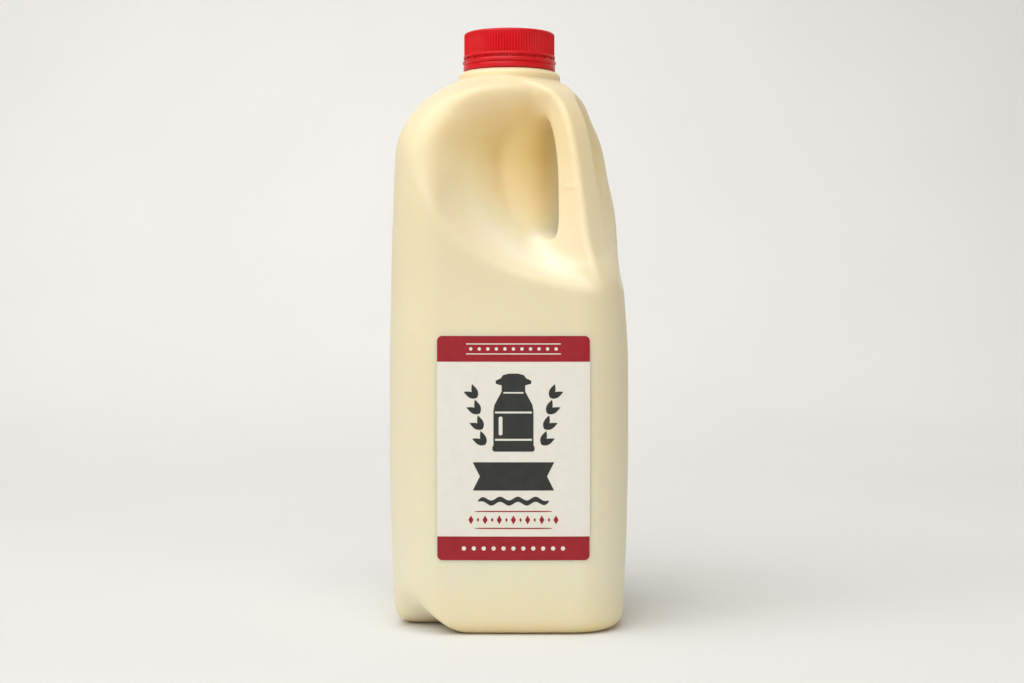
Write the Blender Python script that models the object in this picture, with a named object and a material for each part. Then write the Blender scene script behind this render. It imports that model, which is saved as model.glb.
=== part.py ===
"""A two-litre blow-moulded milk jug with a screw cap and a front label, in metres, +Z up.

The origin is the middle of the base. The label faces -Y and the handle stands on the corner between
+X and -Y. The jug is alike on both sides of the upright plane through its neck and its handle, so its
shape is written once, for the half in front of that plane, and read with a mirrored point for the other.
"""

import bmesh
import bpy
import numpy as np
import openvdb
from mathutils import Matrix

# Body: a rounded square that swells a little at mid height
BODY_HALF = 0.0523
CORNER_RADIUS = 0.0210
SIDE_CROWN = 0.0012
WIDEST_Z = 0.0884
LOWER_TAPER = 0.32
UPPER_TAPER = 0.18
BASE_EDGE = 0.0090

# Shoulder: a quarter ellipse from the upright sides to the collar
SHOULDER_Z = 0.2024
SHOULDER_HALF = BODY_HALF - UPPER_TAPER * (SHOULDER_Z - WIDEST_Z) ** 2
SHOULDER_RISE = 0.0428

# Scoop in the front and in the right face, outside the handle
RIM_Z = 0.1922
RIM_LEFT = -0.0386
UPPER_RIM_X = 0.0034
UPPER_RIM_RISE = 0.0450
LOWER_RIM_X = 0.0440
LOWER_RIM_DROP = 0.0406
WALL_SLOPE_SIDE = 1.25
WALL_SLOPE_TOP = 1.55
WALL_SLOPE_SHELF = 2.8
FLOOR_AT = (-0.0193, -0.0335)
FLOOR_SLOPE = 0.50
FLOOR_LEAN = 0.12
FLOOR_BOW = 7.5
FINGER_WALL = 0.0200
FINGER_WALL_LEAN = 0.12
LEAN_Z = 0.2073
RIM_EASE_LOW = 0.0032
RIM_EASE_HIGH = 0.0130
RIM_SOFT_FROM_Z = 0.1822
RIM_SOFT_SPAN = 0.0300
RIM_TURN_SPAN = 0.0160
RIM_UPPER_POWER = 2.35
NECK_Z = 0.2230
NECK_SPAN = 0.0150
BOWL_EASE = 0.0190
TURN_EASE = 0.0220
SCOOP_JOIN_EASE = 0.0150
INSET_DEPTH = 0.0013
INSET_FROM_Z = 0.1180
INSET_SPAN = 0.0320
INSET_END_Z = 0.1560

# Handle: a fin on the corner plane, with the finger hole through it
HANDLE_WIDTH = 0.0127
HANDLE_FLARE = 0.0016
HANDLE_TOP_FLARE = 0.0100
HANDLE_TOP_FLARE_Z = 0.2250
HANDLE_TOP_FLARE_SPAN = 0.0150
HANDLE_EASE = 0.0026
HANDLE_REACH = 0.0471
HANDLE_LEAN = 0.20
HANDLE_TOP_RISE = 0.0423
HANDLE_TOP_POWER = 3.0
HANDLE_FOOT_DROP = 0.0500
HANDLE_FOOT_REACH = 0.0055
HANDLE_FOOT_POWER = 6.0
HOLE_CENTRE = (0.0236, 0.1984)
HOLE_HALF_DEPTH = 0.0113
HOLE_TOP_RISE = 0.0292
HOLE_FOOT_DROP = 0.0290
HOLE_TILT = -0.055
HOLE_TOP_POWER = 2.0
HOLE_FOOT_POWER = 5.0
FILLET = 0.0060
FOOT_FILLET = 0.0120
FOOT_FILLET_Z = 0.1760
FOOT_FILLET_SPAN = 0.0200
FILLET_LEAST = 0.0002
HANDLE_CREST_EASE = 0.0040

# Recess under the front left corner and its twin under the back right corner
RECESS_START = 0.0238
RECESS_SLOPE = 0.90
RECESS_EASE = 0.0050
RECESS_BLEND = 0.0080

# Collar under the cap
COLLAR_BASE_Z = 0.2402
COLLAR_EDGE_Z = 0.2432
COLLAR_TOP_Z = 0.2448
COLLAR_RADIUS = 0.0228
COLLAR_TOP_RADIUS = 0.0203
COLLAR_ROOT = 0.0030
COLLAR_EDGE = 0.0005

# Cap with its tamper band
CAP_GAP = 0.0003
CAP_TOP_Z = 0.2622
CAP_RADIUS = 0.0203
CAP_EDGE = 0.0024
RIB_COUNT = 100
RIB_DEPTH = 0.00035
RIB_TOP_Z = 0.2603
RIB_FOOT_Z = 0.2517
SLIT_TOP_Z = 0.2507
SLIT_FOOT_Z = 0.2494
RIB_END = 0.0002
RIM_RADIUS = 0.0205
SLIT_RADIUS = 0.0191
BAND_RADIUS = 0.0208
GROOVE_Z = 0.2478
GROOVE_DEPTH = 0.0005

# Label on the front face
LABEL_LEFT = -0.0304
LABEL_RIGHT = 0.0344
LABEL_FOOT_Z = 0.0326
LABEL_TOP_Z = 0.1280
LABEL_CORNER = 0.0020
LABEL_GAP = 0.00040
LABEL_THICKNESS = 0.00025

# Colours
MILK_COLOUR = (0.83, 0.72, 0.48)
CAP_COLOUR = (0.70, 0.02, 0.03)
LABEL_COLOUR = (0.80, 0.79, 0.73)

# Mesh fineness
GRID_STEP = 0.0020
JUG_SHARE_KEPT = 0.125
GRID_MARGIN = 0.004
BASE_TRIM = 0.0002
COLLAR_SEGMENTS = 72
LABEL_COLUMNS = 10
LABEL_ROWS = 12
CORNER_STEP = 0.7


def clear_scene():
    for old in list(bpy.data.objects):
        bpy.data.objects.remove(old, do_unlink=True)


def plastic(name, colour, roughness):
    material = bpy.data.materials.new(name)
    material.use_nodes = True
    shader = material.node_tree.nodes["Principled BSDF"]
    shader.inputs["Base Color"].default_value = (*colour, 1.0)
    shader.inputs["Roughness"].default_value = roughness
    shader.inputs["Metallic"].default_value = 0.0
    return material


def add_object(name, mesh, material):
    mesh.materials.append(material)
    made = bpy.data.objects.new(name, mesh)
    bpy.context.scene.collection.objects.link(made)
    return made


def smooth_min(a, b, ease):
    """The lesser of two distances, with the crease between them rounded over ease."""
    share = np.clip(0.5 + 0.5 * (b - a) / ease, 0.0, 1.0)
    return b + (a - b) * share - ease * share * (1.0 - share)


def smooth_max(a, b, ease):
    return -smooth_min(-a, -b, ease)


def smooth_step(z, start, span):
    """Rises from 0 to 1 as z goes from start over span."""
    share = np.clip((z - start) / span, 0.0, 1.0)
    return share**2 * (3.0 - 2.0 * share)


def half_width(z):
    """Half the body's width at a height, and how fast the shoulder closes there."""
    taper = np.where(z < WIDEST_Z, LOWER_TAPER, UPPER_TAPER)
    side = BODY_HALF - taper * (z - WIDEST_Z) ** 2
    rise = np.clip((z - SHOULDER_Z) / SHOULDER_RISE, 0.0, 0.98)
    dome = SHOULDER_HALF * np.sqrt(1.0 - rise**2)
    width = np.where(z > SHOULDER_Z, dome, side)
    return width, SHOULDER_HALF**2 * rise / (SHOULDER_RISE * dome)


def corner_radius(width):
    """The corners keep their radius down the sides and take up the whole width at the collar."""
    flat_share = (width - COLLAR_RADIUS) / (SHOULDER_HALF - COLLAR_RADIUS)
    flat = (SHOULDER_HALF - CORNER_RADIUS) * np.clip(flat_share, 0.0, None)
    return np.minimum(width - flat, width)


def front_inset(z):
    """How far the front is set back in the band under the scoop's rim."""
    rise = smooth_step(z, INSET_FROM_Z, INSET_SPAN)
    return INSET_DEPTH * rise * (1.0 - smooth_step(z, INSET_END_Z, INSET_SPAN))


def body_distance(x, y, z):
    """Below zero inside the plain body, before its scoops, its handle and its recesses."""
    width, closing = half_width(z)
    radius = corner_radius(width)
    past_x = np.abs(x) - (width - SIDE_CROWN * (y / BODY_HALF) ** 2 - radius)
    inset = np.where(y < 0.0, front_inset(z), 0.0)
    past_y = np.abs(y) + inset - (width - SIDE_CROWN * (x / BODY_HALF) ** 2 - radius)
    corner = np.hypot(np.maximum(past_x, 0.0), np.maximum(past_y, 0.0))
    side = corner + np.minimum(np.maximum(past_x, past_y), 0.0) - radius
    side = side / np.sqrt(1.0 + closing**2)
    side = np.maximum(side, z - COLLAR_EDGE_Z)
    return smooth_max(side, -z, BASE_EDGE)


def front_surface(x, z):
    """Where the plain body's front face is, as a place along Y."""
    width, _ = half_width(z)
    radius = corner_radius(width)
    past = np.maximum(np.abs(x) - (width - radius), 0.0)
    bow = np.sqrt(np.maximum(radius**2 - past**2, 0.0))
    return -(width - SIDE_CROWN * (x / BODY_HALF) ** 2 - radius + bow - front_inset(z))


def inside_rim(x, z):
    """How far a place on the front face lies inside the scoop's rim, and how steep the wall is there."""
    upper = smooth_step(z, RIM_Z - RIM_TURN_SPAN / 2.0, RIM_TURN_SPAN)
    centre = LOWER_RIM_X + (UPPER_RIM_X - LOWER_RIM_X) * upper
    reach = centre - RIM_LEFT
    height = np.where(z > RIM_Z, UPPER_RIM_RISE, LOWER_RIM_DROP)
    across = np.maximum(centre - x, 0.0)
    along = np.abs(z - RIM_Z)
    power = 2.0 + (RIM_UPPER_POWER - 2.0) * upper
    share = ((across / reach) ** power + (along / height) ** power) ** (1.0 / power)
    share = np.maximum(share, 1e-3)
    inside = np.hypot(across, along) * (1.0 / share - 1.0)
    upright = (along / height / share) ** 2
    steep = WALL_SLOPE_SHELF + (WALL_SLOPE_TOP - WALL_SLOPE_SHELF) * upper
    return inside, WALL_SLOPE_SIDE + (steep - WALL_SLOPE_SIDE) * upright


def scoop_distance(x, y, z, depth):
    """Below zero in the space that the scoop takes out, down to the wall behind the fingers."""
    inside, slope = inside_rim(x, z)
    wall = (y - front_surface(x, z) - slope * inside) / np.sqrt(1.0 + slope**2)
    lean = LEAN_Z - z
    floor_y = FLOOR_AT[1] + FLOOR_SLOPE * (x - FLOOR_AT[0]) - (FLOOR_LEAN + FLOOR_BOW * lean) * lean
    floor = (y - floor_y) / np.sqrt(1.0 + FLOOR_SLOPE**2)
    finger_wall = FINGER_WALL + FINGER_WALL_LEAN * lean - depth
    return smooth_max(smooth_min(floor, finger_wall, TURN_EASE), wall, BOWL_EASE)


def handle_outline(depth, z):
    """Below zero inside the handle's outer edge, in the plane of the corner."""
    depth = depth - HANDLE_LEAN * (SHOULDER_Z - z)
    above = np.maximum(z - SHOULDER_Z, 0.0) / HANDLE_TOP_RISE
    share = (np.maximum(depth, 0.0) / HANDLE_REACH) ** HANDLE_TOP_POWER + above**HANDLE_TOP_POWER
    top = HANDLE_REACH * (share ** (1.0 / HANDLE_TOP_POWER) - 1.0)
    below = np.maximum(SHOULDER_Z - z, 0.0) / HANDLE_FOOT_DROP
    foot = depth - HANDLE_REACH - HANDLE_FOOT_REACH * below**HANDLE_FOOT_POWER
    return np.where(z > SHOULDER_Z, top, foot)


def hole_outline(depth, z):
    """Below zero in the finger hole, whose top is round and whose foot is squarer."""
    up = z - HOLE_CENTRE[1]
    across = np.abs(depth - HOLE_CENTRE[0] - HOLE_TILT * up) / HOLE_HALF_DEPTH
    power = np.where(up > 0.0, HOLE_TOP_POWER, HOLE_FOOT_POWER)
    along = np.abs(up) / np.where(up > 0.0, HOLE_TOP_RISE, HOLE_FOOT_DROP)
    share = (across**power + along**power) ** (1.0 / power)
    return HOLE_HALF_DEPTH * (share - 1.0)


def handle_distance(depth, side, z):
    """Below zero in the fin that stands on the corner plane."""
    foot = np.clip((SHOULDER_Z - z) / HANDLE_FOOT_DROP, 0.0, 1.0)
    top = np.clip((z - HANDLE_TOP_FLARE_Z) / HANDLE_TOP_FLARE_SPAN, 0.0, 1.0)
    flank = side - HANDLE_WIDTH / 2.0 - HANDLE_FLARE * foot**2 - HANDLE_TOP_FLARE * top**3
    limits = [flank, handle_outline(depth, z), -hole_outline(depth, z)]
    rounded = sum(np.maximum(limit + HANDLE_EASE, 0.0) ** 2 for limit in limits)
    within = np.minimum(np.maximum.reduce(limits) + HANDLE_EASE, 0.0)
    fin = np.sqrt(rounded) + within - HANDLE_EASE
    return np.maximum(fin, -depth)


def recess_distance(x, y, z):
    reach = smooth_min(-x, -y, RECESS_BLEND) - RECESS_START
    return (z - RECESS_SLOPE * reach) / np.sqrt(1.0 + RECESS_SLOPE**2)


def jug_distance(x, y, z):
    """Below zero inside the whole jug. depth runs from the axis to the handle and side across it."""
    depth = (x - y) / np.sqrt(2.0)
    side = np.abs(x + y) / np.sqrt(2.0)
    near_x = (depth - side) / np.sqrt(2.0)
    far_x = (depth + side) / np.sqrt(2.0)
    softness = smooth_step(z, RIM_SOFT_FROM_Z, RIM_SOFT_SPAN) * (1.0 - smooth_step(z, NECK_Z, NECK_SPAN))
    ease = RIM_EASE_LOW + (RIM_EASE_HIGH - RIM_EASE_LOW) * softness
    plain = body_distance(near_x, -far_x, z)
    front_scoop = scoop_distance(near_x, -far_x, z, depth)
    side_scoop = scoop_distance(far_x, -near_x, z, depth)
    scooped = smooth_max(plain, -smooth_min(front_scoop, side_scoop, SCOOP_JOIN_EASE), ease)
    handle = smooth_max(handle_distance(depth, side, z), plain, HANDLE_CREST_EASE)
    low = smooth_step(-z, -FOOT_FILLET_Z, FOOT_FILLET_SPAN)
    fillet = FILLET + (FOOT_FILLET - FILLET) * low
    whole = smooth_min(scooped, handle, np.clip(scooped - plain, FILLET_LEAST, fillet))
    return smooth_max(whole, -recess_distance(near_x, -far_x, z), RECESS_EASE)


def distance_grid(step):
    """The jug's distances on a box of points, and the box's first point."""
    low = np.array([-BODY_HALF, -BODY_HALF, 0.0]) - GRID_MARGIN
    high = np.array([BODY_HALF, BODY_HALF, COLLAR_EDGE_Z]) + GRID_MARGIN
    counts = np.ceil((high - low) / step).astype(int) + 1
    across = low[0] + step * np.arange(counts[0])
    x, y = np.meshgrid(across, across, indexing="ij")
    levels = low[2] + step * np.arange(counts[2])
    slices = [jug_distance(x, y, np.full_like(x, z)) for z in levels]
    return np.stack(slices, axis=2).astype(np.float32), low


def jug_mesh(step):
    """The surface where the distance is zero, as a mesh of even squares."""
    values, low = distance_grid(step)
    grid = openvdb.FloatGrid(GRID_MARGIN)
    grid.copyFromArray(values)
    points, quads = grid.convertToQuads(0.0)
    mesh = bpy.data.meshes.new("jug")
    mesh.from_pydata(points * step + low, [], quads[:, ::-1].tolist())
    return mesh


def turned(name, profile, segments):
    """A solid turned about the Z axis from (radius, height) points that run from top to bottom."""
    shape = bmesh.new()
    rings = [ring_points(shape, [radius] * segments, height) for radius, height in profile]
    return ring_solid(name, shape, rings)


def ring_points(shape, radii, height):
    turns = np.arange(len(radii)) * 2.0 * np.pi / len(radii)
    return [
        shape.verts.new((radius * np.cos(turn), radius * np.sin(turn), height))
        for radius, turn in zip(radii, turns)
    ]


def join_rings(shape, upper, lower):
    """Faces between two rings, of which one may have twice as many points as the other."""
    count = min(len(upper), len(lower))
    up, down = len(upper) // count, len(lower) // count
    for i in range(count):
        first = upper[i * up : i * up + up + 1]
        second = lower[i * down : i * down + down + 1]
        if i == count - 1:
            first.append(upper[0])
            second.append(lower[0])
        if len(first) == len(second):
            shape.faces.new((*first[::-1], *second))
        elif len(second) > len(first):
            shape.faces.new((first[0], second[0], second[1]))
            shape.faces.new((first[0], second[1], first[1]))
            shape.faces.new((first[1], second[1], second[2]))
        else:
            shape.faces.new((second[0], first[1], first[0]))
            shape.faces.new((second[0], second[1], first[1]))
            shape.faces.new((second[1], first[2], first[1]))


def ring_solid(name, shape, rings):
    for upper, lower in zip(rings, rings[1:]):
        join_rings(shape, upper, lower)
    shape.faces.new(rings[0])
    shape.faces.new(rings[-1][::-1])
    bmesh.ops.recalc_face_normals(shape, faces=shape.faces)
    mesh = bpy.data.meshes.new(name)
    shape.to_mesh(mesh)
    shape.free()
    return mesh


def applied(source):
    """A new mesh with the object's modifiers worked out, and the object taken away."""
    graph = bpy.context.evaluated_depsgraph_get()
    mesh = bpy.data.meshes.new_from_object(source.evaluated_get(graph))
    bpy.data.objects.remove(source, do_unlink=True)
    return mesh


def cut_flat_below(mesh, height):
    """Cuts the mesh off at a height and closes it with one flat face."""
    shape = bmesh.new()
    shape.from_mesh(mesh)
    parts = shape.verts[:] + shape.edges[:] + shape.faces[:]
    plane = {"plane_co": (0.0, 0.0, height), "plane_no": (0.0, 0.0, 1.0)}
    cut = bmesh.ops.bisect_plane(shape, geom=parts, dist=1e-6, clear_inner=True, **plane)
    edges = [part for part in cut["geom_cut"] if isinstance(part, bmesh.types.BMEdge)]
    bmesh.ops.contextual_create(shape, geom=edges)
    bmesh.ops.recalc_face_normals(shape, faces=shape.faces)
    shape.to_mesh(mesh)
    shape.free()


def make_jug(material):
    rough = add_object("jug_rough", jug_mesh(GRID_STEP), material)
    thin = rough.modifiers.new("thin", "DECIMATE")
    thin.ratio = JUG_SHARE_KEPT
    mesh = applied(rough)
    mesh.transform(Matrix.Translation((0.0, 0.0, -BASE_TRIM)))
    cut_flat_below(mesh, 0.0)
    return add_object("jug", mesh, material)


def make_collar():
    """The turned step that the cap stands on, closed down into the shoulder."""
    profile = [
        (COLLAR_TOP_RADIUS, COLLAR_TOP_Z),
        (COLLAR_RADIUS - COLLAR_EDGE, COLLAR_EDGE_Z),
        (COLLAR_RADIUS, COLLAR_EDGE_Z - COLLAR_EDGE),
        (COLLAR_RADIUS, COLLAR_BASE_Z),
        (COLLAR_RADIUS - COLLAR_ROOT, COLLAR_BASE_Z - COLLAR_ROOT),
    ]
    return turned("collar", profile, COLLAR_SEGMENTS)


def join(base, mesh):
    """Unites a mesh with an object, and leaves the mesh as a hidden helper."""
    helper = bpy.data.objects.new(mesh.name, mesh)
    bpy.context.scene.collection.objects.link(helper)
    helper.hide_render = True
    helper.display_type = "WIRE"
    union = base.modifiers.new(mesh.name, "BOOLEAN")
    union.operation = "UNION"
    union.solver = "EXACT"
    union.object = helper


def ribbed_ring(shape, height):
    return ring_points(shape, [CAP_RADIUS, CAP_RADIUS - RIB_DEPTH] * RIB_COUNT, height)


def plain_rings(shape, profile):
    return [ring_points(shape, [radius] * RIB_COUNT, height) for radius, height in profile]


def make_cap(material):
    """The ribbed cap, and the tamper band that a slit parts from it all but at its root."""
    shape = bmesh.new()
    crown = [
        (CAP_RADIUS - CAP_EDGE, CAP_TOP_Z),
        (CAP_RADIUS - CAP_EDGE / 3.0, CAP_TOP_Z - CAP_EDGE / 6.0),
        (CAP_RADIUS, RIB_TOP_Z + RIB_END),
    ]
    skirt = [
        (RIM_RADIUS, RIB_FOOT_Z - RIB_END),
        (RIM_RADIUS, SLIT_TOP_Z),
        (SLIT_RADIUS, SLIT_TOP_Z - RIB_END),
        (SLIT_RADIUS, SLIT_FOOT_Z + RIB_END),
        (BAND_RADIUS, SLIT_FOOT_Z),
        (BAND_RADIUS, GROOVE_Z + GROOVE_DEPTH),
        (BAND_RADIUS - GROOVE_DEPTH, GROOVE_Z),
        (BAND_RADIUS, GROOVE_Z - GROOVE_DEPTH),
        (BAND_RADIUS, COLLAR_TOP_Z + CAP_GAP),
    ]
    ribs = [ribbed_ring(shape, height) for height in (RIB_TOP_Z, RIB_FOOT_Z)]
    rings = plain_rings(shape, crown) + ribs + plain_rings(shape, skirt)
    cap = add_object("cap", ring_solid("cap", shape, rings), material)
    cap.data.shade_smooth()
    return cap


def label_columns():
    """Places across the label, with one more in each rounded corner."""
    left = LABEL_LEFT + LABEL_CORNER
    right = LABEL_RIGHT - LABEL_CORNER
    near = LABEL_CORNER * CORNER_STEP
    ends = [LABEL_LEFT, left - near, right + near, LABEL_RIGHT]
    return np.sort(np.concatenate([np.linspace(left, right, LABEL_COLUMNS + 1), ends]))


def make_label(material):
    """A thin plate that follows the front face."""
    x = label_columns()
    from_end = np.minimum(x - LABEL_LEFT, LABEL_RIGHT - x)
    short = np.maximum(LABEL_CORNER - from_end, 0.0)
    inset = LABEL_CORNER - np.sqrt(np.maximum(LABEL_CORNER**2 - short**2, 0.0))
    share = np.linspace(0.0, 1.0, LABEL_ROWS + 1)[:, None]
    z = (LABEL_FOOT_Z + inset) * (1.0 - share) + (LABEL_TOP_Z - inset) * share
    x = np.broadcast_to(x, z.shape)
    back_y = front_surface(x, z) - LABEL_GAP
    layers = [np.stack([x, y, z], axis=-1) for y in (back_y, back_y - LABEL_THICKNESS)]
    rows, columns = z.shape
    shape = bmesh.new()
    back, front = [[[shape.verts.new(p) for p in row] for row in layer] for layer in layers]
    for i in range(rows - 1):
        for j in range(columns - 1):
            for layer in (back, front):
                shape.faces.new((layer[i][j], layer[i][j + 1], layer[i + 1][j + 1], layer[i + 1][j]))
    rim = [(0, j) for j in range(columns)] + [(i, columns - 1) for i in range(1, rows)]
    rim += [(rows - 1, j) for j in range(columns - 2, -1, -1)] + [(i, 0) for i in range(rows - 2, 0, -1)]
    for (i, j), (k, m) in zip(rim, rim[1:] + rim[:1]):
        shape.faces.new((back[i][j], back[k][m], front[k][m], front[i][j]))
    bmesh.ops.recalc_face_normals(shape, faces=shape.faces)
    mesh = bpy.data.meshes.new("label")
    shape.to_mesh(mesh)
    shape.free()
    return add_object("label", mesh, material)


def main():
    clear_scene()
    jug = make_jug(plastic("milky_plastic", MILK_COLOUR, 0.4))
    join(jug, make_collar())
    jug.data.shade_smooth()
    make_cap(plastic("cap_plastic", CAP_COLOUR, 0.35))
    make_label(plastic("label_paper", LABEL_COLOUR, 0.45))


main()
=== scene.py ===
"""A full two-litre plastic milk jug with a red screw cap and a printed front label, on a pale floor.

All sizes are in metres, +Z up, with the origin at the middle of the jug's base. The label faces -Y and
the handle stands on the corner between +X and -Y. The jug is alike on both sides of the upright plane
through its neck and its handle, so its shape is written once and read with a mirrored point beyond it.
"""

import bmesh
import bpy
import numpy as np
import openvdb
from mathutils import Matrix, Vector
from mathutils.geometry import delaunay_2d_cdt

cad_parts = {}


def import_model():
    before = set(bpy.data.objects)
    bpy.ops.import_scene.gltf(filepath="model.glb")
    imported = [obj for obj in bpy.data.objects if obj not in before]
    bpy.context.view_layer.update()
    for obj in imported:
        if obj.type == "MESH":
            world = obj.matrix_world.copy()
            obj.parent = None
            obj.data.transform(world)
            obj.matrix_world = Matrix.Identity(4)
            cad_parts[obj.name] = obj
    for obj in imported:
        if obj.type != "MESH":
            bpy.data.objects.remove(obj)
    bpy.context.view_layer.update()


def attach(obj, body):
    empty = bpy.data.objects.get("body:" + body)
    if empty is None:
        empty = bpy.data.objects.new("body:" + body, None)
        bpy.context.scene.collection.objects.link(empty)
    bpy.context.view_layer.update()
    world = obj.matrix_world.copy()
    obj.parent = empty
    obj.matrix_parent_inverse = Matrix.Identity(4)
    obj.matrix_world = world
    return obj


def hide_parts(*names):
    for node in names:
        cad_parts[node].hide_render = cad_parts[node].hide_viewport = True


# Body: a rounded square that swells a little at mid height
BODY_HALF = 0.0523
CORNER_RADIUS = 0.0210
SIDE_CROWN = 0.0012
WIDEST_Z = 0.0884
LOWER_TAPER = 0.32
UPPER_TAPER = 0.18
BASE_EDGE = 0.0090

# Shoulder: a quarter ellipse from the upright sides to the collar
SHOULDER_Z = 0.2024
SHOULDER_HALF = BODY_HALF - UPPER_TAPER * (SHOULDER_Z - WIDEST_Z) ** 2
SHOULDER_RISE = 0.0428
SHOULDER_CUT = 0.98

# Scoop in the front and in the right face, outside the handle
RIM_Z = 0.1922
RIM_LEFT = -0.0386
UPPER_RIM_X = 0.0034
UPPER_RIM_RISE = 0.0450
LOWER_RIM_X = 0.0440
LOWER_RIM_DROP = 0.0406
WALL_SLOPE_SIDE = 1.25
WALL_SLOPE_TOP = 1.55
WALL_SLOPE_SHELF = 2.8
FLOOR_AT = (-0.0193, -0.0335)
FLOOR_SLOPE = 0.50
FLOOR_LEAN = 0.12
FLOOR_BOW = 7.5
FINGER_WALL = 0.0200
FINGER_WALL_LEAN = 0.12
LEAN_Z = 0.2073
RIM_EASE_LOW = 0.0032
RIM_EASE_HIGH = 0.0130
RIM_SOFT_FROM_Z = 0.1822
RIM_SOFT_SPAN = 0.0300
RIM_TURN_SPAN = 0.0160
RIM_UPPER_POWER = 2.35
NECK_Z = 0.2230
NECK_SPAN = 0.0150
BOWL_EASE = 0.0190
TURN_EASE = 0.0220
SCOOP_JOIN_EASE = 0.0150
INSET_DEPTH = 0.0013
INSET_FROM_Z = 0.1180
INSET_SPAN = 0.0320
INSET_END_Z = 0.1560

# Handle: a fin on the corner plane, with the finger hole through it
HANDLE_WIDTH = 0.0127
HANDLE_FLARE = 0.0016
HANDLE_TOP_FLARE = 0.0100
HANDLE_TOP_FLARE_Z = 0.2250
HANDLE_TOP_FLARE_SPAN = 0.0150
HANDLE_EASE = 0.0026
HANDLE_REACH = 0.0471
HANDLE_LEAN = 0.20
HANDLE_TOP_RISE = 0.0423
HANDLE_TOP_POWER = 3.0
HANDLE_FOOT_DROP = 0.0500
HANDLE_FOOT_REACH = 0.0055
HANDLE_FOOT_POWER = 6.0
HOLE_CENTRE = (0.0236, 0.1984)
HOLE_HALF_DEPTH = 0.0113
HOLE_TOP_RISE = 0.0292
HOLE_FOOT_DROP = 0.0290
HOLE_TILT = -0.055
HOLE_TOP_POWER = 2.0
HOLE_FOOT_POWER = 5.0
FILLET = 0.0060
FOOT_FILLET = 0.0120
FOOT_FILLET_Z = 0.1760
FOOT_FILLET_SPAN = 0.0200
FILLET_LEAST = 0.0002
HANDLE_CREST_EASE = 0.0040

# Recess under the front left corner and its twin under the back right corner
RECESS_START = 0.0238
RECESS_SLOPE = 0.90
RECESS_EASE = 0.0050
RECESS_BLEND = 0.0080

# Collar under the cap, from its foot in the shoulder to its sloping top, and the fold around its foot
COLLAR_BASE_Z = 0.2402
COLLAR_EDGE_Z = 0.2432
COLLAR_TOP_Z = 0.2448
COLLAR_RADIUS = 0.0228
COLLAR_TOP_RADIUS = 0.0203
COLLAR_ROOT = 0.0030
COLLAR_SUNK = 0.0004
COLLAR_SWEEP = 0.0022
COLLAR_ROUNDING = 0.0007
COLLAR_HIDDEN_RADIUS = 0.0150
COLLAR_SEGMENTS = 192
PROFILE_STEPS = 4

# Cap: crown, ribs, rim, slit and tamper band, from top to bottom
CAP_TOP_Z = 0.2622
CAP_RADIUS = 0.0203
CROWN_EDGE = 0.0016
RIB_COUNT = 100
RIB_DEPTH = 0.00050
RIB_TOP_Z = 0.2609
RIB_FOOT_Z = 0.2519
RIB_FADE = 0.0008
RIM_RADIUS = 0.0206
RIM_FOOT_Z = 0.2508
SLIT_RADIUS = 0.0196
SLIT_FOOT_Z = 0.2495
BRIDGE_COUNT = 20
BRIDGE_SHARE = 0.14
BAND_RADIUS = 0.0207
BEAD_PROUD = 0.0003
BEAD_FOOT_Z = 0.2481
GROOVE_Z = 0.2477
GROOVE_DEPTH = 0.0005
BAND_FOOT_Z = 0.2451
POINTS_PER_RIB = 8
DISH_DEPTH = 0.0003
DISH_INSETS = (0.0070, 0.0060)
DISH_EDGE_INSET = 0.0056
CROWN_STEPS = 7
CROWN_FLATNESS = 0.7
RIB_NARROWING = 1.4
RIB_START_SHARE = 0.5
RIB_START_LAG = 0.2
RIB_RINGS = 6
BRIDGE_SUNK = 0.0004
CAP_ROUNDING = 0.0001
CAP_EDGE_DROP = 0.0005
CAP_SHARP_ANGLE = np.radians(50.0)

# Label: a film on the front face, and how far its print stands proud of it
LABEL_LEFT = -0.0304
LABEL_RIGHT = 0.0344
LABEL_FOOT_Z = 0.0326
LABEL_TOP_Z = 0.1280
LABEL_CORNER = 0.0022
LABEL_GAP = 0.00012
LABEL_THICKNESS = 0.00018
INK_DEPTH = 0.00006
INK_SUNK = 0.00003
BAND_EDGE = 0.00012
MESH_SPACING = 0.0025
EDGE_CLEARANCE = MESH_SPACING * 0.3
CORNER_STEPS = 7
DOT_STEPS = 20
LEAF_STEPS = 13
WAVE_STEPS = 80
SAME_POINT = 1e-7
INSIDE_WITH_HOLES = 2

# Fineness of the jug's surface
GRID_STEP = 0.0012
GRID_MARGIN = 0.004
BASE_TRIM = 0.0002
SLOPE_STEP = 0.00015
SLOPE_LEAST = 0.2

# Camera, at the photograph's viewing angle
LENS = 60.0
SENSOR = 36.0
CAMERA_AZIMUTH = np.radians(0.3)
CAMERA_PAN = np.radians(0.089)
CAMERA_DISTANCE = 0.7714
CAMERA_HEIGHT = 0.1494
CAMERA_PITCH = np.radians(1.9)

# Print on the label: heights of its parts, and their sizes
TOP_BAND_FOOT_Z = 0.1170
TOP_BAND_ROW_Z = 0.1224
TOP_DOT_SPACING = 0.0036
TOP_DOT_RADIUS = 0.0007
RULE_FROM_ROW = 0.0021
RULE_HALF = (0.0200, 0.0002)
RULE_ROUNDING = 0.00015
FOOT_BAND_TOP_Z = 0.0429
FOOT_BAND_ROW_Z = 0.0378
FOOT_DOT_SPACING = 0.0042
FOOT_DOT_RADIUS = 0.0009
CHURN_FOOT_Z = 0.0790
CHURN_HEIGHT = 0.0330
CHURN_HALF_SHARE = 0.27
SPRIG_START = (0.0118, 0.0030)
SPRIG_STEP = (0.0012, 0.0066)
SPRIG_ROWS = 4
LEAF_SIZE = (0.0062, 0.0026)
LEAF_LEANS = (0.35, 1.15)
LEAF_FULLNESS = 0.8
RIBBON_Z = (0.0625, 0.0745)
RIBBON_HALF = 0.0172
RIBBON_NOTCH = 0.0030
WAVE_Z = 0.0580
WAVE_HALF = 0.0150
WAVE_SWING = 0.0008
WAVE_THICKNESS = 0.0022
WAVE_TURNS = 4
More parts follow.
